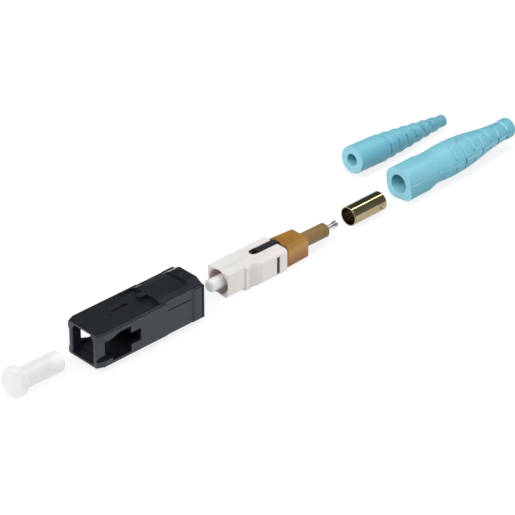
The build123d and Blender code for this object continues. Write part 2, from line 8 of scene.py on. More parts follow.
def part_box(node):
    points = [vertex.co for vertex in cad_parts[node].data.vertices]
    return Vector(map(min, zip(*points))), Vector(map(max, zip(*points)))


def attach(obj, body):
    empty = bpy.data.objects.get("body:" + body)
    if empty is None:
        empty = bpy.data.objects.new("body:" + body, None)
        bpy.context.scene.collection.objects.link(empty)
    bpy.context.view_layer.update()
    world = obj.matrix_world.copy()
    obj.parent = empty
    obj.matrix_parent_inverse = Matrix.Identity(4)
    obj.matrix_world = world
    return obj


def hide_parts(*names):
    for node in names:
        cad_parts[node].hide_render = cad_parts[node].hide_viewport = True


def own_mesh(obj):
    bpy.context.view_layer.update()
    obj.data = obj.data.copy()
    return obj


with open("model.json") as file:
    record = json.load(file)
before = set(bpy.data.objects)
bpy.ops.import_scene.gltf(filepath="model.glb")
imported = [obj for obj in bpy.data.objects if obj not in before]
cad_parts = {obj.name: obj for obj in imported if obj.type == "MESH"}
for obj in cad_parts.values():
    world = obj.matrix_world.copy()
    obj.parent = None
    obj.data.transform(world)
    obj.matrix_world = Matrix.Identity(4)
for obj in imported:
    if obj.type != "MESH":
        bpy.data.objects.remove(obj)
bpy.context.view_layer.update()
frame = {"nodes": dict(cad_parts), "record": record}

SHEET_HALF = 2.5
SHEET_BOUNCE = (0.86, 0.86, 0.86, 1)
SHEET_SEEN = (0.24, 0.24, 0.24, 1)
SHEET_LIFT = 0.80
ROOM_TINT = (0.93, 0.96, 1.0, 1)
ROOM_DIM = 0.10
ROOM_BRIGHT = 0.24
ROOM_DIM_FROM = 0.2
ROOM_BRIGHT_FROM = -0.8
VIEW_TARGET = Vector((-0.0016898, -0.0017453, 0))
VIEW_FORWARD = Vector((0.57924, 0.62150, -0.52746)).normalized()
VIEW_DISTANCE = 0.55776
VIEW_LENS = 203.53
VIEW_ROLL = 0.00233

view_data = bpy.data.cameras.new("view")
view_data.lens = VIEW_LENS
view_data.sensor_width = 36
view_data.clip_start = 0.01
view_data.clip_end = 20
view = bpy.data.objects.new("view", view_data)
view.location = VIEW_TARGET - VIEW_FORWARD * VIEW_DISTANCE
view.rotation_mode = "QUATERNION"
view.rotation_quaternion = VIEW_FORWARD.to_track_quat("-Z", "Y") @ Quaternion((0, 0, 1), VIEW_ROLL)
bpy.context.collection.objects.link(view)
bpy.context.scene.camera = view
bpy.context.scene.view_settings.view_transform = "Standard"


def new_tree(data):
    """An empty node tree on a material or a world."""
    data.use_nodes = True
    tree = data.node_tree
    tree.nodes.clear()
    return tree


def reckon(tree, operation, *values):
    """A Math node on sockets or numbers."""
    node = tree.nodes.new("ShaderNodeMath")
    node.operation = operation
    for place, value in enumerate(values):
        if isinstance(value, (int, float)):
            node.inputs[place].default_value = value
        else:
            tree.links.new(value, node.inputs[place])
    return node.outputs[0]


def either(tree, share, first, second):
    """Mix two shaders: the share is how much of the second one shows."""
    node = tree.nodes.new("ShaderNodeMixShader")
    tree.links.new(share, node.inputs[0])
    tree.links.new(first, node.inputs[1])
    tree.links.new(second, node.inputs[2])
    return node.outputs[0]


sheet_finish = bpy.data.materials.new("white_sheet")
tree = new_tree(sheet_finish)
sheet_out = tree.nodes.new("ShaderNodeOutputMaterial")
path = tree.nodes.new("ShaderNodeLightPath")
seen = reckon(tree, "MAXIMUM", path.outputs["Is Camera Ray"], path.outputs["Is Transmission Ray"])
seen = reckon(tree, "MAXIMUM", seen, path.outputs["Is Glossy Ray"])
sheet_paper = tree.nodes.new("ShaderNodeBsdfDiffuse")
sheet_paper.inputs["Color"].default_value = SHEET_BOUNCE
sheet_shadow = tree.nodes.new("ShaderNodeBsdfDiffuse")
sheet_shadow.inputs["Color"].default_value = SHEET_SEEN
sheet_lift = tree.nodes.new("ShaderNodeEmission")
sheet_lift.inputs["Strength"].default_value = SHEET_LIFT
sheet_sum = tree.nodes.new("ShaderNodeAddShader")
tree.links.new(sheet_shadow.outputs[0], sheet_sum.inputs[0])
tree.links.new(sheet_lift.outputs[0], sheet_sum.inputs[1])
tree.links.new(either(tree, seen, sheet_paper.outputs[0], sheet_sum.outputs[0]), sheet_out.inputs["Surface"])

sheet_mesh = bpy.data.meshes.new("table_sheet")
sheet_corners = [(x * SHEET_HALF, y * SHEET_HALF, 0) for x, y in ((-1, -1), (1, -1), (1, 1), (-1, 1))]
sheet_mesh.from_pydata(sheet_corners, [], [(0, 1, 2, 3)])
sheet = bpy.data.objects.new("table_sheet", sheet_mesh)
sheet.data.materials.append(sheet_finish)
bpy.context.collection.objects.link(sheet)

world = bpy.data.worlds.new("room")
bpy.context.scene.world = world
tree = new_tree(world)
world_out = tree.nodes.new("ShaderNodeOutputWorld")
room = tree.nodes.new("ShaderNodeBackground")
room.inputs["Color"].default_value = ROOM_TINT
facing = tree.nodes.new("ShaderNodeTexCoord")
parts = tree.nodes.new("ShaderNodeSeparateXYZ")
nearness = tree.nodes.new("ShaderNodeMapRange")
nearness.inputs["From Min"].default_value = ROOM_DIM_FROM
nearness.inputs["From Max"].default_value = ROOM_BRIGHT_FROM
nearness.inputs["To Min"].default_value = ROOM_DIM
nearness.inputs["To Max"].default_value = ROOM_BRIGHT
tree.links.new(facing.outputs["Generated"], parts.inputs[0])
tree.links.new(parts.outputs["Y"], nearness.inputs["Value"])
tree.links.new(nearness.outputs[0], room.inputs["Strength"])
backdrop = tree.nodes.new("ShaderNodeBackground")
backdrop.inputs["Strength"].default_value = 1.0
path = tree.nodes.new("ShaderNodeLightPath")
seen = reckon(tree, "MAXIMUM", path.outputs["Is Camera Ray"], path.outputs["Is Transmission Ray"])
tree.links.new(either(tree, seen, room.outputs[0], backdrop.outputs[0]), world_out.inputs["Surface"])


def softbox(name, direction, distance, width, height, power, colour=(1.0, 1.0, 1.0), mirrored=True):
    data = bpy.data.lights.new(name, "AREA")
    data.shape = "RECTANGLE"
    data.size = width
    data.size_y = height
    data.energy = power
    data.color = colour
    lamp = bpy.data.objects.new(name, data)
    lamp.visible_glossy = mirrored
    away = Vector(direction).normalized()
    lamp.location = away * distance
    lamp.rotation_mode = "QUATERNION"
    lamp.rotation_quaternion = (-away).to_track_quat("-Z", "Y")
    bpy.context.collection.objects.link(lamp)


softbox("overhead_strip", direction=(0.58, 0.04, 0.81), distance=1.2, width=0.14, height=1.4, power=4.6,
        colour=(1.0, 0.97, 0.90))
softbox("front_box", direction=(-0.72, 0.10, 0.68), distance=1.5, width=1.2, height=1.0, power=12.5)
softbox("near_fill", direction=(0.0, -0.82, 0.58), distance=1.5, width=1.4, height=1.2, power=8.4,
        colour=(1.0, 0.99, 0.985), mirrored=False)
softbox("overhead_fill", direction=(0.1, 0.1, 1.0), distance=1.5, width=1.2, height=1.2, power=6.0,
        mirrored=False)

# Ferrule
# The precision rod that holds the fibre: white zirconia ceramic, ground and polished, pressed
# into its flange.
FERRULE_WHITE = (0.90, 0.895, 0.89, 1)
FERRULE_CLOUD = (0.87, 0.865, 0.86, 1)
MM_PER_M = 1000
CLOUD_DETAIL = 2.0
GRAIN_DETAIL = 3.0
CLOUD_FROM = 0.35
CLOUD_TO = 0.68
BEVEL_SAMPLES = 6


def stepped(tree, operation, first, second=None):
    """A Vector Math node on a socket and, for some operations, a fixed vector."""
    node = tree.nodes.new("ShaderNodeVectorMath")
    node.operation = operation
    tree.links.new(first, node.inputs[0])
    if second is not None:
        node.inputs[1].default_value = second
    return node


def in_millimetres(tree):
    place = tree.nodes.new("ShaderNodeTexCoord")
    scaled = stepped(tree, "SCALE", place.outputs["Object"])
    scaled.inputs["Scale"].default_value = MM_PER_M
    return scaled.outputs[0]


def noise(tree, place, size, detail):
    """Noise whose features have about the size of a socket, in millimetres."""
    node = tree.nodes.new("ShaderNodeTexNoise")
    node.inputs["Detail"].default_value = detail
    tree.links.new(place, node.inputs["Vector"])
    tree.links.new(reckon(tree, "DIVIDE", 1.0, size), node.inputs["Scale"])
    return node.outputs[0]


def colour_mix(tree, share, first):
    """A Mix node on colours, with the first one linked and the second left to the caller."""
    node = tree.nodes.new("ShaderNodeMix")
    node.data_type = "RGBA"
    tree.links.new(share, node.inputs[0])
    tree.links.new(first, node.inputs[6])
    return node


def moulded_skin():
    """Colour that clouds a little, roughness that wanders and a fine grain, all in millimetres."""
    group = bpy.data.node_groups.new("moulded_skin", "ShaderNodeTree")
    face = group.interface
    for name, kind, value in (("Colour", "NodeSocketColor", (0.8, 0.8, 0.8, 1)),
                              ("Cloud Colour", "NodeSocketColor", (0.7, 0.7, 0.7, 1)),
                              ("Cloud Size", "NodeSocketFloat", 3.0),
                              ("Grain Size", "NodeSocketFloat", 0.1),
                              ("Roughness", "NodeSocketFloat", 0.4),
                              ("Spread", "NodeSocketFloat", 0.1)):
        face.new_socket(name, in_out="INPUT", socket_type=kind).default_value = value
    for name, kind in (("Colour", "NodeSocketColor"), ("Roughness", "NodeSocketFloat"),
                       ("Height", "NodeSocketFloat")):
        face.new_socket(name, in_out="OUTPUT", socket_type=kind)
    given = group.nodes.new("NodeGroupInput").outputs
    out = group.nodes.new("NodeGroupOutput").inputs
    place = in_millimetres(group)
    clouds = noise(group, place, given["Cloud Size"], CLOUD_DETAIL)
    grain = noise(group, place, given["Grain Size"], GRAIN_DETAIL)
    share = group.nodes.new("ShaderNodeMapRange")
    share.interpolation_type = "SMOOTHSTEP"
    share.inputs["From Min"].default_value = CLOUD_FROM
    share.inputs["From Max"].default_value = CLOUD_TO
    group.links.new(clouds, share.inputs["Value"])
    clouded = colour_mix(group, share.outputs[0], given["Colour"])
    group.links.new(given["Cloud Colour"], clouded.inputs[7])
    centred = reckon(group, "SUBTRACT", grain, 0.5)
    wander = reckon(group, "MULTIPLY_ADD", centred, given["Spread"], given["Roughness"])
    group.links.new(clouded.outputs[2], out["Colour"])
    group.links.new(wander, out["Roughness"])
    group.links.new(grain, out["Height"])
    return group


skin_group = moulded_skin()


def skinned(name, colour, cloud_colour, cloud, grain, rough, spread, bump, edge):
    """A material on the skin group, with its shader: cloud and grain are their features' sizes,
    bump the grain's depth and edge its rounding, all in millimetres."""
    finish = bpy.data.materials.new(name)
    tree = new_tree(finish)
    out = tree.nodes.new("ShaderNodeOutputMaterial")
    shader = tree.nodes.new("ShaderNodeBsdfPrincipled")
    skin = tree.nodes.new("ShaderNodeGroup")
    skin.node_tree = skin_group
    for socket, value in (("Colour", colour), ("Cloud Colour", cloud_colour), ("Cloud Size", cloud),
                          ("Grain Size", grain), ("Roughness", rough), ("Spread", spread)):
        skin.inputs[socket].default_value = value
    relief = tree.nodes.new("ShaderNodeBump")
    relief.inputs["Distance"].default_value = bump / MM_PER_M
    tree.links.new(skin.outputs["Height"], relief.inputs["Height"])
    if edge:
        bevel = tree.nodes.new("ShaderNodeBevel")
        bevel.samples = BEVEL_SAMPLES
        bevel.inputs["Radius"].default_value = edge / MM_PER_M
        tree.links.new(bevel.outputs[0], relief.inputs["Normal"])
    tree.links.new(skin.outputs["Colour"], shader.inputs["Base Color"])
    tree.links.new(skin.outputs["Roughness"], shader.inputs["Roughness"])
    tree.links.new(relief.outputs[0], shader.inputs["Normal"])
    tree.links.new(shader.outputs[0], out.inputs["Surface"])
    return finish, shader


def soak(shader, weight, radius, depth):
    """Let light into a surface: the radius is each colour's share of the depth, in millimetres."""
    shader.inputs["Subsurface Weight"].default_value = weight
    shader.inputs["Subsurface Radius"].default_value = radius
    shader.inputs["Subsurface Scale"].default_value = depth / MM_PER_M


def dress(node, finish):
    """Give a carried-over solid its finish."""
    solid = frame["nodes"][node]
    solid.data.materials.clear()
    solid.data.materials.append(finish)
    return solid


zirconia, shader = skinned("zirconia", FERRULE_WHITE, FERRULE_CLOUD, cloud=2.0, grain=0.05, rough=0.2,
                           spread=0.06, bump=0.001, edge=0.25)
soak(shader, weight=0.4, radius=(1, 1, 1), depth=0.6)
dress("ferrule", zirconia)

# Ferrule flange
# The turned holder behind the ferrule, nickel-plated metal, with four notches that keep it from
# turning.
NICKEL = (0.62, 0.60, 0.57, 1)
NICKEL_CLOUD = (0.56, 0.54, 0.50, 1)
nickel, shader = skinned("nickel", NICKEL, NICKEL_CLOUD, cloud=1.0, grain=0.04, rough=0.3, spread=0.1,
                         bump=0.002, edge=0.05)
shader.inputs["Metallic"].default_value = 1.0
dress("ferrule_flange", nickel)

# Guide tube
# A thin stainless tube that leads the fibre into the flange, flared at its rear end and polished
# by drawing.
STEEL = (0.84, 0.84, 0.81, 1)
STEEL_CLOUD = (0.74, 0.74, 0.71, 1)
steel, shader = skinned("stainless", STEEL, STEEL_CLOUD, cloud=0.8, grain=0.05, rough=0.34, spread=0.1,
                        bump=0.002, edge=0.0)
shader.inputs["Metallic"].default_value = 1.0
dress("guide_tube", steel)

# Plug frame
# The inner body that clicks into the housing, moulded in off-white plastic with a satin skin and
# small rounded edges. Painted shade makes its nose bore and the slits for the barrel's lugs browner,
# its top slot nearly black and its concave waist a little darker.
PLUG_WHITE = (0.82, 0.79, 0.765, 1)
PLUG_CLOUD = (0.79, 0.755, 0.735, 1)
NOSE_SHADE = (0.74, 0.62, 0.56, 1)
NOSE_BORE_ALONG = (0.3, 6.1)
NOSE_BORE_R = 2.56
NOSE_BORE_HALF_H = 2.515
SLIT_SHADE = (0.34, 0.25, 0.25, 1)
SLIT_ALONG = (11.9, 12.75)
SLIT_HALF_W = 3.36
SLIT_HALF_H = 1.85
SLOT_SHADE = (0.06, 0.05, 0.045, 1)
SLOT_ALONG = (8.3, 10.6)
SLOT_ACROSS = (-0.62, 1.42)
SLOT_HEIGHT = (0.5, 2.49)
WAIST_SHADE = (0.74, 0.70, 0.68, 1)
WAIST_ALONG = (5.0, 8.3)
WAIST_HEIGHT = (-3.0, 1.9)
REARWARD = Vector((1, 0, 0))
FARWARD = Vector((0, 1, 0))
UPWARD = Vector((0, 0, 1))


def offset_from(finish, origin):
    """Socket with the vector from an origin to the shaded point, in millimetres."""
    tree = finish.node_tree
    return stepped(tree, "SUBTRACT", in_millimetres(tree), origin).outputs[0]


def distance_along(finish, origin, axis):
    """Socket with how far the shaded point lies along an axis from an origin, in millimetres."""
    return stepped(finish.node_tree, "DOT_PRODUCT", offset_from(finish, origin), axis).outputs["Value"]


def distance_out(finish, origin, axis):
    """Socket with how far the shaded point lies from an axis through an origin, in millimetres."""
    tree = finish.node_tree
    across = stepped(tree, "CROSS_PRODUCT", offset_from(finish, origin), axis)
    return stepped(tree, "LENGTH", across.outputs[0]).outputs["Value"]


def within(finish, value, low, high, soft=0.05):
    """A mask that is 1 between two values and fades to 0 over a soft edge."""
    tree = finish.node_tree
    middle = (low + high) / 2
    half = (high - low) / 2
    off = reckon(tree, "ABSOLUTE", reckon(tree, "SUBTRACT", value, middle))
    fade = tree.nodes.new("ShaderNodeMapRange")
    fade.inputs["From Min"].default_value = half + soft / 2
    fade.inputs["From Max"].default_value = half - soft / 2
    tree.links.new(off, fade.inputs["Value"])
    return fade.outputs[0]


def tinted(finish, shader, masks, colour):
    """Lay another colour over the base colour where all the masks are 1."""
    tree = finish.node_tree
    share = masks[0]
    for mask in masks[1:]:
        share = reckon(tree, "MULTIPLY", share, mask)
    under = shader.inputs["Base Color"].links[0].from_socket
    mix = colour_mix(tree, share, under)
    mix.inputs[7].default_value = colour
    tree.links.new(mix.outputs[2], shader.inputs["Base Color"])


plug_low, plug_high = (Vector(corner) * MM_PER_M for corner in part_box("plug_frame"))
PLUG_FRONT = Vector((plug_low.x, (plug_low.y + plug_high.y) / 2, (plug_low.z + plug_high.z) / 2))
ivory, shader = skinned("off_white_plastic", PLUG_WHITE, PLUG_CLOUD, cloud=4.0, grain=0.12, rough=0.42,
                        spread=0.1, bump=0.003, edge=0.12)
soak(shader, weight=0.25, radius=(1.0, 0.6, 0.45), depth=0.6)
along = distance_along(ivory, PLUG_FRONT, REARWARD)
out = distance_out(ivory, PLUG_FRONT, REARWARD)
across = distance_along(ivory, PLUG_FRONT, FARWARD)
height = distance_along(ivory, PLUG_FRONT, UPWARD)
# Painted shade: the nose bore is browner, as less light reaches in.
tinted(ivory, shader, [within(ivory, along, *NOSE_BORE_ALONG, soft=0.4),
                       within(ivory, out, -NOSE_BORE_R, NOSE_BORE_R),
                       within(ivory, height, -NOSE_BORE_HALF_H, NOSE_BORE_HALF_H, soft=0.01)], NOSE_SHADE)
# Painted shade: the slits for the barrel's lugs are dark brown.
tinted(ivory, shader, [within(ivory, along, *SLIT_ALONG),
                       within(ivory, across, -SLIT_HALF_W, SLIT_HALF_W),
                       within(ivory, height, -SLIT_HALF_H, SLIT_HALF_H)], SLIT_SHADE)
# Painted shade: the top slot over the spring is painted nearly black.
tinted(ivory, shader, [within(ivory, along, *SLOT_ALONG), within(ivory, across, *SLOT_ACROSS),
                       within(ivory, height, *SLOT_HEIGHT)], SLOT_SHADE)
# Painted shade: the concave waist is a little darker, as it faces away from the light.
tinted(ivory, shader, [within(ivory, along, *WAIST_ALONG, soft=0.6),
                       within(ivory, height, *WAIST_HEIGHT, soft=0.5)], WAIST_SHADE)
dress("plug_frame", ivory)

# Spring
# A coil of bright spring wire between the flange and the floor of the barrel. The ferrule pushes
# its front end back as it floats; a copy of the rigid CAD coil, attached to the kit, stands for it.
WIRE = (0.95, 0.92, 0.84, 1)
WIRE_CLOUD = (0.90, 0.86, 0.78, 1)
WIRE_METALLIC = 0.4
wire, shader = skinned("spring_wire", WIRE, WIRE_CLOUD, cloud=0.4, grain=0.05, rough=0.32, spread=0.1,
                       bump=0.002, edge=0.0)
shader.inputs["Metallic"].default_value = WIRE_METALLIC
rigid_coil = frame["nodes"]["spring"]
coil = bpy.data.objects.new("ferrule_spring", rigid_coil.data.copy())
bpy.context.collection.objects.link(coil)
coil.matrix_world = rigid_coil.matrix_world
coil.data.materials.clear()
coil.data.materials.append(wire)
bpy.context.view_layer.update()
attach(coil, "kit")
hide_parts("spring")
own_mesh(coil)

# Spring barrel
# The black moulding that closes the plug frame behind the spring, held by its two snap lugs.
BARREL_BLACK = (0.016, 0.017, 0.019, 1)
BARREL_CLOUD = (0.022, 0.023, 0.026, 1)
barrel_black, _ = skinned("barrel_black", BARREL_BLACK, BARREL_CLOUD, cloud=1.5, grain=0.1, rough=0.42,
                          spread=0.1, bump=0.004, edge=0.08)
dress("spring_barrel", barrel_black)

# Crimp body
# The amber block and neck that carry the crimp, moulded in a slightly clear engineering plastic, with a
# painted glow on its upper sides, painted shade that makes it redder and darker to the foot, and a duller
# neck.
AMBER = (0.36, 0.18, 0.024, 1)
AMBER_CLOUD = (0.315, 0.15, 0.028, 1)
AMBER_PAINTED_GLOW = (0.50, 0.275, 0.088, 1)
PAINTED_GLOW_HEIGHT = (-3.5, 1.75)
AMBER_FOOT_PAINTED_SHADE = (0.32, 0.125, 0.042, 1)
FOOT_SHADE_HEIGHT = (-4.5, -0.6)
NECK_AMBER = (0.265, 0.165, 0.072, 1)
NECK_ALONG = (20.9, 29.9)
NECK_REAR = (0.27, 0.185, 0.060, 1)
NECK_REAR_ALONG = (25.3, 29.3)
AMBER_SHEEN = 0.3
amber, shader = skinned("amber_plastic", AMBER, AMBER_CLOUD, cloud=2.6, grain=0.15, rough=0.45, spread=0.12,
                        bump=0.004, edge=0.3)
soak(shader, weight=0.35, radius=(1.0, 0.45, 0.12), depth=0.6)
shader.inputs["Specular IOR Level"].default_value = AMBER_SHEEN
along = distance_along(amber, PLUG_FRONT, REARWARD)
height = distance_along(amber, PLUG_FRONT, UPWARD)
# Painted light: a glow laid on the upper sides, lighter than the block's own colour.
tinted(amber, shader, [within(amber, height, *PAINTED_GLOW_HEIGHT, soft=0.9)], AMBER_PAINTED_GLOW)
# Painted shade: the block goes redder and darker towards its foot.
tinted(amber, shader, [within(amber, height, *FOOT_SHADE_HEIGHT, soft=2.6)], AMBER_FOOT_PAINTED_SHADE)
tinted(amber, shader, [within(amber, along, *NECK_ALONG, soft=0.2)], NECK_AMBER)
tinted(amber, shader, [within(amber, along, *NECK_REAR_ALONG, soft=0.8)], NECK_REAR)
dress("crimp_body", amber)

# Crimp sleeve
# A length of thin drawn brass tube, bright outside, with painted shade that makes it browner
# inside and a painted dark spot of shade round the small sight hole near its rear end.
BRASS = (0.42, 0.35, 0.215, 1)
BRASS_CLOUD = (0.37, 0.295, 0.165, 1)
BRASS_INSIDE_PAINTED_SHADE = (0.34, 0.295, 0.24, 1)
SLEEVE_INSIDE_R = 1.86
SLEEVE_TURN = radians(1.2)
SIGHT_HOLE_PAINTED_SHADE = (0.07, 0.05, 0.03, 1)
SIGHT_HOLE_AT = Vector((26.56, -7.0, 1.78))
SIGHT_HOLE_AXIS = Vector((0.0, 0.99, 0.12))
SIGHT_HOLE_R = 0.26
SIGHT_HOLE_REACH = 1
sleeve_low, sleeve_high = (Vector(corner) * MM_PER_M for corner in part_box("crimp_sleeve"))
SLEEVE_MIDDLE = (sleeve_low + sleeve_high) / 2
SLEEVE_AXIS = Vector((cos(SLEEVE_TURN), sin(SLEEVE_TURN), 0))
brass, shader = skinned("bright_brass", BRASS, BRASS_CLOUD, cloud=1.8, grain=0.08, rough=0.13, spread=0.05,
                        bump=0.001, edge=0.05)
shader.inputs["Metallic"].default_value = 1.0
out = distance_out(brass, SLEEVE_MIDDLE, SLEEVE_AXIS)
# Painted shade: the inside of the tube is browner.
tinted(brass, shader, [within(brass, out, 0, SLEEVE_INSIDE_R)], BRASS_INSIDE_PAINTED_SHADE)
# Painted shade: a dark spot round the tiny sight hole stands in for its shadow.
into = distance_along(brass, SIGHT_HOLE_AT, SIGHT_HOLE_AXIS)
out = distance_out(brass, SIGHT_HOLE_AT, SIGHT_HOLE_AXIS)
tinted(brass, shader, [within(brass, out, 0, SIGHT_HOLE_R, soft=0.1),
                       within(brass, into, -SIGHT_HOLE_REACH, SIGHT_HOLE_REACH)], SIGHT_HOLE_PAINTED_SHADE)
dress("crimp_sleeve", brass)

# Buffer boot
# The small boot that eases the bend of a thin fibre, moulded in soft aqua rubber in steps. Painted
# light makes its forward faces and the lower part of its bore paler, and painted shade makes its
# under side and the upper part of its bore deeper in colour.
AQUA = (0.205, 0.555, 0.69, 1)
AQUA_CLOUD = (0.18, 0.525, 0.66, 1)
AQUA_UNDER_PAINTED_SHADE = (0.135, 0.40, 0.505, 1)
UNDER_SHADE_HEIGHT = (-9.0, 0.2)
AQUA_PALE = (0.34, 0.71, 0.855, 1)
FRONT_COSINE = (0.8, 1.2)
BORE_PAINTED_LIGHT = (0.42, 0.88, 0.96, 1)
BORE_PAINTED_SHADE = (0.065, 0.37, 0.49, 1)
BORE_FROM = 0.1
BOOT_TOP = 9.0
BUFFER_BORE_R = 1.30
BUFFER_BORE_TO = 16.9
BUFFER_EXIT_MIDDLE = 22.3


def axis_of(mount_name):
    """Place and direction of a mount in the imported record, the place in millimetres."""
    for mount in frame["record"]["mounts"]:
        if mount["name"] == mount_name:
            return Vector(mount["pos_m"]) * MM_PER_M, Vector(mount["axis"])
    raise KeyError(mount_name)


def front_facing(finish, axis):
    """A mask that is 1 on faces that look forward along a piece's axis."""
    tree = finish.node_tree
    surface = tree.nodes.new("ShaderNodeNewGeometry")
    forward = stepped(tree, "DOT_PRODUCT", surface.outputs["True Normal"], -axis)
    return within(finish, forward.outputs["Value"], *FRONT_COSINE, soft=0.3)


def aqua_rubber(name, colour, cloud_colour, origin, axis, bore_r, bore_to):
    """Aqua rubber for a boot that lies along an axis, with its shader: painted shade on its under side
    and the upper part of its bore, painted light on its forward faces and the lower part of its bore.
    """
    finish, shader = skinned(name, colour, cloud_colour, cloud=5.0, grain=0.25, rough=0.55, spread=0.1,
                             bump=0.006, edge=0.15)
    soak(shader, weight=0.12, radius=(0.3, 0.8, 1.0), depth=0.4)
    along = distance_along(finish, origin, axis)
    out = distance_out(finish, origin, axis)
    height = distance_along(finish, origin, UPWARD)
    # Painted shade: the under side is deeper in colour.
    tinted(finish, shader, [within(finish, height, *UNDER_SHADE_HEIGHT, soft=2.8)], AQUA_UNDER_PAINTED_SHADE)
    # Painted light: faces that look forward along the boot are paler.
    tinted(finish, shader, [front_facing(finish, axis)], AQUA_PALE)
    # Painted light on the lower part of the bore, and painted shade on its upper part.
    inside = [within(finish, out, -bore_r, bore_r), within(finish, along, BORE_FROM, bore_to)]
    tinted(finish, shader, inside, BORE_PAINTED_LIGHT)
    upper = within(finish, height, -bore_r / 3, BOOT_TOP, soft=bore_r)
    tinted(finish, shader, inside + [upper], BORE_PAINTED_SHADE)
    return finish, shader


BUFFER_AT, BUFFER_AXIS = axis_of("buffer_cable_entry")
BUFFER_FACE = BUFFER_AT - BUFFER_AXIS * BUFFER_EXIT_MIDDLE
buffer_aqua, _ = aqua_rubber("aqua_rubber", AQUA, AQUA_CLOUD, BUFFER_FACE, BUFFER_AXIS,
                             BUFFER_BORE_R, BUFFER_BORE_TO)
dress("buffer_boot", buffer_aqua)

# Cable boot
# The large boot for a jacketed cable, moulded in the same aqua rubber, with slots that let it
# bend. A thin pale flash line runs down each side of it.
BOOT_AQUA = (0.235, 0.59, 0.715, 1)
BOOT_CLOUD = (0.205, 0.555, 0.68, 1)
BOOT_TAIL_PAINTED_SHADE = (0.165, 0.475, 0.60, 1)
TAIL_ALONG = (20.0, 60.0)
TAIL_HEIGHT = (-1.2, 9.0)
TAIL_OUT = (1.4, 5.0)
FLASH_ALONG = (0.2, 29.7)
FLASH_OUT = (2.0, 5.0)
FLASH_HALF = 0.1
BOOT_EXIT_MIDDLE = 26.15
BOOT_BORE_R = 2.01
BOOT_BORE_TO = 19.9
BOOT_ROLL = radians(-8)
BOOT_AT, BOOT_AXIS = axis_of("cable_entry")
BOOT_FACE = BOOT_AT - BOOT_AXIS * BOOT_EXIT_MIDDLE
BOOT_UP = Quaternion(BOOT_AXIS, BOOT_ROLL) @ UPWARD
cable_aqua, shader = aqua_rubber("aqua_boot_rubber", BOOT_AQUA, BOOT_CLOUD, BOOT_FACE, BOOT_AXIS,
                                 BOOT_BORE_R, BOOT_BORE_TO)
along = distance_along(cable_aqua, BOOT_FACE, BOOT_AXIS)
out = distance_out(cable_aqua, BOOT_FACE, BOOT_AXIS)
height = distance_along(cable_aqua, BOOT_FACE, BOOT_UP)
# Painted shade: the upper side darkens towards the tail.
tinted(cable_aqua, shader, [within(cable_aqua, along, *TAIL_ALONG, soft=16.0),
                            within(cable_aqua, height, *TAIL_HEIGHT, soft=2.4),
                            within(cable_aqua, out, *TAIL_OUT)], BOOT_TAIL_PAINTED_SHADE)
tinted(cable_aqua, shader, [within(cable_aqua, height, -FLASH_HALF, FLASH_HALF, soft=0.04),
                            within(cable_aqua, along, *FLASH_ALONG, soft=0.1),
                            within(cable_aqua, out, *FLASH_OUT, soft=0.04)], AQUA_PALE)
boot = dress("cable_boot", cable_aqua)

# Slot lips
# The drafted rear edge of each slot in the cable boot, part of the same moulding, coloured paler than
# the rubber as a painted highlight. Slots over the top take turns with pairs of slots in the two sides.
# Each lip slopes down to a knee, whose place is a share of its width and depth, and then to its foot.
LIP_PAINTED_HIGHLIGHT = (0.42, 0.84, 0.95, 1)
LIP_HIGHLIGHT_CLOUD = (0.39, 0.80, 0.92, 1)
SLOTS = 7
SLOT_FIRST = 13.2
SLOT_LAST = 29.65
SLOT_HALF_W = 0.25
TOP_SLOT = ((14, 166),)
SIDE_SLOTS = ((2, 76), (104, 178))
LIP_W = 0.27
LIP_DEPTH = 0.5
LIP_SINK = 0.03
LIP_STEPS = 40
LIP_FADE_STEPS = 3
KNEE_W = 0.45
KNEE_DEPTH = 0.22
STATION_REACH = 0.32
FLASH_CLEAR = 0.5
boot_side = BOOT_UP.cross(BOOT_AXIS)
boot_local = []
for vertex in boot.data.vertices:
    offset = vertex.co * MM_PER_M - BOOT_FACE
    station = offset.dot(BOOT_AXIS)
    boot_local.append((station, offset.dot(BOOT_UP), (offset - BOOT_AXIS * station).length))


def boot_radius(station):
    """The round surface's radius at a station, read off the boot's own mesh clear of its flash."""
    return max(r for x, up, r in boot_local if abs(x - station) < STATION_REACH and abs(up) > FLASH_CLEAR)


def boot_point(station, radius, angle):
    """A point on the boot, in metres; the angle runs from its far side over the top."""
    turned = boot_side * cos(radians(angle)) + BOOT_UP * sin(radians(angle))
    return (BOOT_FACE + BOOT_AXIS * station + turned * radius) / MM_PER_M


lip_corners = []
lip_faces = []
for number in range(SLOTS):
    rear = SLOT_FIRST + (SLOT_LAST - SLOT_FIRST) * number / (SLOTS - 1) + SLOT_HALF_W
    skin_r = boot_radius(rear) - LIP_SINK
    for start, end in TOP_SLOT if number % 2 == 0 else SIDE_SLOTS:
        for step in range(LIP_STEPS + 1):
            angle = start + (end - start) * step / LIP_STEPS
            width = LIP_W * min(1, (step + 1) / LIP_FADE_STEPS, (LIP_STEPS + 1 - step) / LIP_FADE_STEPS)
            first = len(lip_corners)
            lip_corners += [boot_point(rear, skin_r, angle),
                            boot_point(rear - width * KNEE_W, skin_r - LIP_DEPTH * KNEE_DEPTH, angle),
                            boot_point(rear - width, skin_r - LIP_DEPTH, angle),
                            boot_point(rear, skin_r - LIP_DEPTH, angle)]
            here = list(range(first, first + 4))
            if step:
                for i in range(4):
                    beside = here[(i + 1) % 4]
                    lip_faces.append((here[i], here[i] - 4, beside - 4, beside))
            if step == 0:
                lip_faces.append(here[::-1])
            if step == LIP_STEPS:
                lip_faces.append(here)
lip_mesh = bpy.data.meshes.new("slot_lips")
lip_mesh.from_pydata(lip_corners, [], lip_faces)
lips = bpy.data.objects.new("slot_lips", lip_mesh)
bpy.context.collection.objects.link(lips)
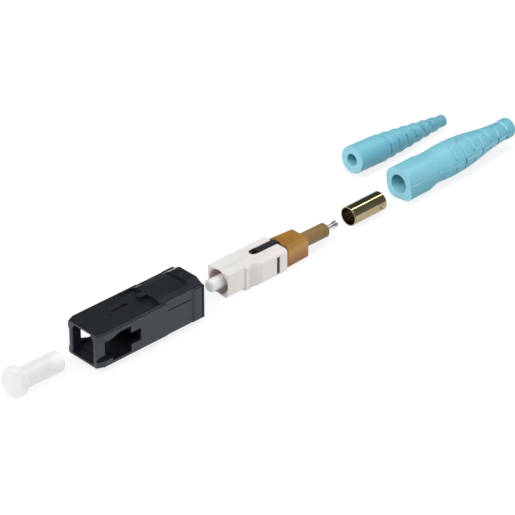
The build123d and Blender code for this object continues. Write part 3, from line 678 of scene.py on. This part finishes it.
# Painted highlight: the lips, and the boot's gate mark further on, are paler than the rubber.
lip_painted_highlight, _ = skinned("aqua_painted_highlight", LIP_PAINTED_HIGHLIGHT, LIP_HIGHLIGHT_CLOUD, cloud=5.0, grain=0.25, rough=0.55,
                      spread=0.1, bump=0.006, edge=0.0)
lips.data.materials.append(lip_painted_highlight)
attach(lips, "kit")

# Outer housing
# The black push-pull housing, a satin moulding that reflects the white table on its sides, with
# open latch windows. Painted shade darkens the furrow beside its key, and its far grip edge is duller.
COAL = (0.0135, 0.0165, 0.0205, 1)
COAL_CLOUD = (0.0165, 0.0195, 0.024, 1)
SHEEN_TINT = (0.80, 0.90, 1.0, 1)
COAL_IOR = 1.53
FURROW_PAINTED_SHADE = (0.001, 0.001, 0.0015, 1)
FURROW_ALONG = (5.75, 11.2)
FURROW_ACROSS = (-0.5, 1.5)
FURROW_HEIGHT = (2.0, 3.56)
EDGE_ALONG = (16.9, 22.4)
EDGE_ACROSS = (2.0, 4.6)
EDGE_DULLNESS = 0.75
HOUSING_AT, housing_forward = axis_of("housing_passage")
HOUSING_REARWARD = -housing_forward
coal, shader = skinned("black_housing_plastic", COAL, COAL_CLOUD, cloud=5.0, grain=0.1, rough=0.18,
                       spread=0.06, bump=0.002, edge=0.05)
shader.inputs["Specular Tint"].default_value = SHEEN_TINT
shader.inputs["IOR"].default_value = COAL_IOR
along = distance_along(coal, HOUSING_AT, HOUSING_REARWARD)
across = distance_along(coal, HOUSING_AT, UPWARD.cross(HOUSING_REARWARD))
height = distance_along(coal, HOUSING_AT, UPWARD)
# Painted shade: the furrow beside the key is painted nearly black.
tinted(coal, shader, [within(coal, along, *FURROW_ALONG), within(coal, across, *FURROW_ACROSS),
                      within(coal, height, *FURROW_HEIGHT)], FURROW_PAINTED_SHADE)
tree = coal.node_tree
on_edge = reckon(tree, "MULTIPLY", within(coal, along, *EDGE_ALONG, soft=0.4),
                 within(coal, across, *EDGE_ACROSS))
roughness = shader.inputs["Roughness"].links[0].from_socket
dulled = reckon(tree, "ADD", reckon(tree, "MULTIPLY", on_edge, EDGE_DULLNESS), roughness)
tree.links.new(dulled, shader.inputs["Roughness"])
dress("outer_housing", coal)

# Dust cap
# The soft cap for the ferrule, moulded in milky polyethylene with a thick round head.
MILKY = (0.95, 0.97, 0.99, 1)
MILKY_CLOUD = (0.92, 0.945, 0.97, 1)
CAP_ALPHA = 0.46
CAP_RIM_ALPHA = 0.68
CAP_RIM_BLEND = 0.3
milky, shader = skinned("milky_clear", MILKY, MILKY_CLOUD, cloud=3.0, grain=0.3, rough=0.28, spread=0.04,
                        bump=0.0, edge=0.1)
tree = milky.node_tree
rim = tree.nodes.new("ShaderNodeLayerWeight")
rim.inputs["Blend"].default_value = CAP_RIM_BLEND
thickness = tree.nodes.new("ShaderNodeMapRange")
thickness.inputs["To Min"].default_value = CAP_ALPHA
thickness.inputs["To Max"].default_value = CAP_RIM_ALPHA
tree.links.new(rim.outputs["Facing"], thickness.inputs["Value"])
tree.links.new(thickness.outputs[0], shader.inputs["Alpha"])
dress("dust_cap", milky)

# Gate marks
# The small round stubs that the moulds' gates leave: one on the housing's top by its rear end and
# one on the cable boot's face. The profile is of (radius, rise) from the foot to the middle.
STUB_PROFILE = ((0.50, 0.0), (0.46, 0.06), (0.34, 0.08), (0.26, 0.03), (0.15, 0.03), (0.10, 0.10))
STUB_PEAK = 0.12
STUB_TURNS = 28
HOUSING_STUB_AT = Vector((-25.44, -6.84, 8.86))
HOUSING_STUB_SIZE = 0.9
BOOT_STUB_AT = Vector((33.80, -6.85, 1.87))
BOOT_STUB_SIZE = 0.7


def gate_stub(name, at, outward, size, finish):
    """A low turned stub that stands outward from a surface."""
    first_way = outward.orthogonal().normalized()
    second_way = outward.cross(first_way)
    points = []
    for r, rise in STUB_PROFILE:
        for turn in range(STUB_TURNS):
            a = radians(360 * turn / STUB_TURNS)
            spoke = first_way * cos(a) + second_way * sin(a)
            points.append((at + spoke * r * size + outward * rise * size) / MM_PER_M)
    peak = len(points)
    points.append((at + outward * STUB_PEAK * size) / MM_PER_M)
    faces = []
    for ring in range(0, peak - STUB_TURNS, STUB_TURNS):
        for turn in range(STUB_TURNS):
            here = ring + turn
            beside = ring + (turn + 1) % STUB_TURNS
            faces.append((here, beside, beside + STUB_TURNS, here + STUB_TURNS))
    last = peak - STUB_TURNS
    faces += [(last + turn, last + (turn + 1) % STUB_TURNS, peak) for turn in range(STUB_TURNS)]
    faces.append(tuple(range(STUB_TURNS - 1, -1, -1)))
    mesh = bpy.data.meshes.new(name)
    mesh.from_pydata(points, [], faces)
    stub = bpy.data.objects.new(name, mesh)
    bpy.context.collection.objects.link(stub)
    stub.data.materials.append(finish)
    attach(stub, "kit")


gate_stub("housing_gate_mark", HOUSING_STUB_AT, UPWARD, HOUSING_STUB_SIZE, coal)
# The boot's stub wears the paler aqua of the slot lips, a painted highlight.
gate_stub("boot_gate_mark", BOOT_STUB_AT, -BOOT_AXIS, BOOT_STUB_SIZE, lip_painted_highlight)
